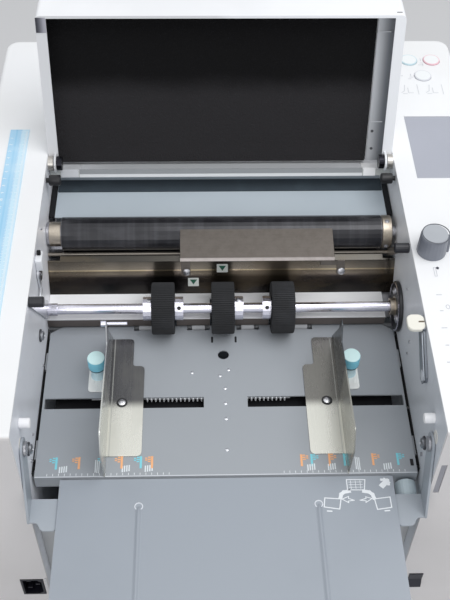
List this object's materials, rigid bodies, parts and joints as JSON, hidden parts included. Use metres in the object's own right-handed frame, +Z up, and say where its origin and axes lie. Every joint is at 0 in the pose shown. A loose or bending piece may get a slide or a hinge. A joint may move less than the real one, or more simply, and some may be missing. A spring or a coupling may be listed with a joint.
{
  "type": "paper folding machine",
  "caption": "Desk buckle paper folder with its hood open: feed table with sliding side guides, feed and fold rollers, levers, control buttons, folding infeed table and exit tray",
  "frame": {"origin": "middle of the part's footprint at rest, on the desk surface under the feet", "axes": "+Z up, +Y the way paper travels from the infeed side to the exit tray, +X to the operator's right; the longest extent is along Y"},
  "size_m": [0.495, 0.891, 0.5207],
  "materials": {
    "white_paint": "satin",
    "grey_paint": "satin",
    "pale_blue_paint": "satin",
    "motor_grey": "satin",
    "bright_steel": "brushed",
    "steel": "machined",
    "dark_steel": "polished",
    "black_plastic": "satin",
    "roller_rubber": "matt",
    "black_rubber": "matt",
    "foam": "speckled foam",
    "cyan_plastic": "satin",
    "red_plastic": "satin",
    "grey_plastic": "satin",
    "panel_grey": "gloss",
    "cream_plastic": "satin",
    "nylon": "matt"
  },
  "bodies": {
    "chassis": {"base_plate": "grey_paint", "foot_front_left": "black_rubber", "foot_front_right": "black_rubber", "foot_rear_left": "black_rubber", "foot_rear_right": "black_rubber", "left_frame": "grey_paint", "right_frame": "grey_paint", "left_housing": "white_paint", "right_housing": "white_paint", "front_cover": "grey_paint", "rear_cover": "grey_paint", "feed_table": "grey_paint", "feed_guide_plate": "bright_steel", "cross_plate": "dark_steel", "sensor_cover": "steel", "lower_paper_guide": "steel", "upper_fold_plate": "pale_blue_paint", "lower_fold_plate": "pale_blue_paint", "drive_motor": "motor_grey", "drive_belt": "black_rubber", "feed_clutch": "black_plastic", "power_inlet": "black_plastic", "display_panel": "panel_grey"},
    "hood": {"top_cover": "white_paint", "foam_pad": "foam"},
    "extension": {"extension_table": "grey_paint", "left_arm": "grey_paint", "right_arm": "grey_paint"},
    "feed": {"feed_shaft": "steel", "feed_roller_left": "black_rubber", "feed_roller_centre": "black_rubber", "feed_roller_right": "black_rubber"},
    "roller_1": {"fold_roller_1": "roller_rubber", "roller_gear_1": "steel"},
    "roller_2": {"fold_roller_2": "roller_rubber", "roller_gear_2": "steel", "roller_pulley": "black_plastic"},
    "roller_3": {"fold_roller_3": "roller_rubber", "roller_gear_3": "steel"},
    "roller_4": {"fold_roller_4": "roller_rubber", "roller_gear_4": "steel"},
    "motor_rotor": {"motor_pulley": "steel"},
    "idlers": {"idler_shaft": "grey_plastic"},
    "left_guide_set": {"left_guide": "bright_steel", "left_rack": "grey_plastic"},
    "right_guide_set": {"right_guide": "bright_steel", "right_rack": "grey_plastic"},
    "rack_pinion": {"pinion": "nylon"},
    "left_lock": {"left_lock_knob": "cyan_plastic"},
    "right_lock": {"right_lock_knob": "cyan_plastic"},
    "tray": {"exit_tray": "grey_paint"},
    "lift": {"lift_lever": "black_plastic"},
    "release": {"release_lever": "black_plastic"},
    "side_flap_lever": {"side_lever": "cream_plastic"},
    "skew": {"skew_knob": "grey_plastic"},
    "dial": {"dial_knob": "grey_plastic"},
    "start": {"start_button": "cyan_plastic"},
    "stop": {"stop_button": "red_plastic"},
    "clear": {"clear_button": "grey_plastic"},
    "rocker": {"rocker_switch": "black_plastic"}
  },
  "joints": [
    {"name": "cover_hinge", "type": "hinge", "parent": "chassis", "child": "hood", "pos_m": [-0.0125, 0.0925, 0.38], "axis": [1, 0, 0], "range_deg": [0, 105]},
    {"name": "extension_hinge", "type": "hinge", "parent": "chassis", "child": "extension", "pos_m": [-0.0125, -0.2115, 0.3345], "axis": [1, 0, 0], "range_deg": [-110, 0]},
    {"name": "feed_spin", "type": "hinge", "parent": "chassis", "child": "feed", "pos_m": [-0.0125, -0.033, 0.303], "axis": [1, 0, 0], "continuous": true},
    {"name": "roller_2_spin", "type": "hinge", "parent": "chassis", "child": "roller_2", "pos_m": [-0.0125, 0.04499, 0.30843], "axis": [1, 0, 0], "continuous": true},
    {"name": "roller_1_spin", "type": "hinge", "parent": "chassis", "child": "roller_1", "pos_m": [-0.0125, 0.0335, 0.34], "axis": [1, 0, 0], "continuous": true},
    {"name": "roller_3_spin", "type": "hinge", "parent": "chassis", "child": "roller_3", "pos_m": [-0.0125, 0.07853, 0.31054], "axis": [1, 0, 0], "continuous": true},
    {"name": "roller_4_spin", "type": "hinge", "parent": "chassis", "child": "roller_4", "pos_m": [-0.0125, 0.08551, 0.27767], "axis": [1, 0, 0], "continuous": true},
    {"name": "motor_spin", "type": "hinge", "parent": "chassis", "child": "motor_rotor", "pos_m": [-0.0125, 0.1955, 0.126], "axis": [1, 0, 0], "continuous": true},
    {"name": "idler_spin", "type": "hinge", "parent": "chassis", "child": "idlers", "pos_m": [-0.0125, -0.031, 0.2715], "axis": [1, 0, 0], "continuous": true},
    {"name": "left_guide_slide", "type": "slide", "parent": "chassis", "child": "left_guide_set", "axis": [1, 0, 0], "range_m": [-0.04123, 0.0432]},
    {"name": "right_guide_slide", "type": "slide", "parent": "chassis", "child": "right_guide_set", "axis": [1, 0, 0], "range_m": [-0.0432, 0.04123]},
    {"name": "pinion_turn", "type": "hinge", "parent": "chassis", "child": "rack_pinion", "pos_m": [-0.0125, -0.127, 0.2722], "axis": [0, 0, 1], "range_deg": [-340, 340]},
    {"name": "left_lock_turn", "type": "hinge", "parent": "left_guide_set", "child": "left_lock", "pos_m": [-0.1323, -0.094, 0.291], "axis": [0, 0, 1], "range_deg": [0, 180]},
    {"name": "right_lock_turn", "type": "hinge", "parent": "right_guide_set", "child": "right_lock", "pos_m": [0.1073, -0.094, 0.291], "axis": [0, 0, 1], "range_deg": [0, 180]},
    {"name": "tray_hinge", "type": "hinge", "parent": "chassis", "child": "tray", "pos_m": [-0.0125, 0.294, 0.238], "axis": [1, 0, 0], "range_deg": [0, 85]},
    {"name": "lift_lever_turn", "type": "hinge", "parent": "chassis", "child": "lift", "pos_m": [-0.0125, -0.033, 0.303], "axis": [1, 0, 0], "range_deg": [0, 20]},
    {"name": "release_lever_turn", "type": "hinge", "parent": "chassis", "child": "release", "pos_m": [-0.0125, 0.0225, 0.322], "axis": [1, 0, 0], "range_deg": [0, 20]},
    {"name": "side_lever_turn", "type": "hinge", "parent": "chassis", "child": "side_flap_lever", "pos_m": [-0.0125, -0.1545, 0.354], "axis": [-1, 0, 0], "range_deg": [0, 20]},
    {"name": "skew_turn", "type": "hinge", "parent": "chassis", "child": "skew", "pos_m": [0.1475, -0.2045, 0.262], "axis": [0, 1, 0], "range_deg": [-120, 120]},
    {"name": "dial_turn", "type": "hinge", "parent": "chassis", "child": "dial", "pos_m": [0.1775, -0.0365, 0.3855], "axis": [0, 0, 1], "range_deg": [-135, 135]},
    {"name": "start_press", "type": "slide", "parent": "chassis", "child": "start", "axis": [0, 0, -1], "range_m": [0, 0.0015], "stiffness_N_per_m": 200, "springref_m": -0.0005},
    {"name": "stop_press", "type": "slide", "parent": "chassis", "child": "stop", "axis": [0, 0, -1], "range_m": [0, 0.0015], "stiffness_N_per_m": 200, "springref_m": -0.0005},
    {"name": "clear_press", "type": "slide", "parent": "chassis", "child": "clear", "axis": [0, 0, -1], "range_m": [0, 0.0015], "stiffness_N_per_m": 200, "springref_m": -0.0005},
    {"name": "rocker_turn", "type": "hinge", "parent": "chassis", "child": "rocker", "pos_m": [-0.0125, -0.2285, 0.123], "axis": [1, 0, 0], "range_deg": [0, 16]}
  ],
  "couplings": [
    {"joint": "roller_1_spin", "follows": "roller_2_spin", "ratio": -1},
    {"joint": "roller_3_spin", "follows": "roller_2_spin", "ratio": -1},
    {"joint": "roller_4_spin", "follows": "roller_2_spin", "ratio": 1},
    {"joint": "motor_spin", "follows": "roller_2_spin", "ratio": 1.6667},
    {"joint": "right_guide_slide", "follows": "left_guide_slide", "ratio": -1},
    {"joint": "pinion_turn", "follows": "left_guide_slide", "rad_per_m": -133.33}
  ]
}
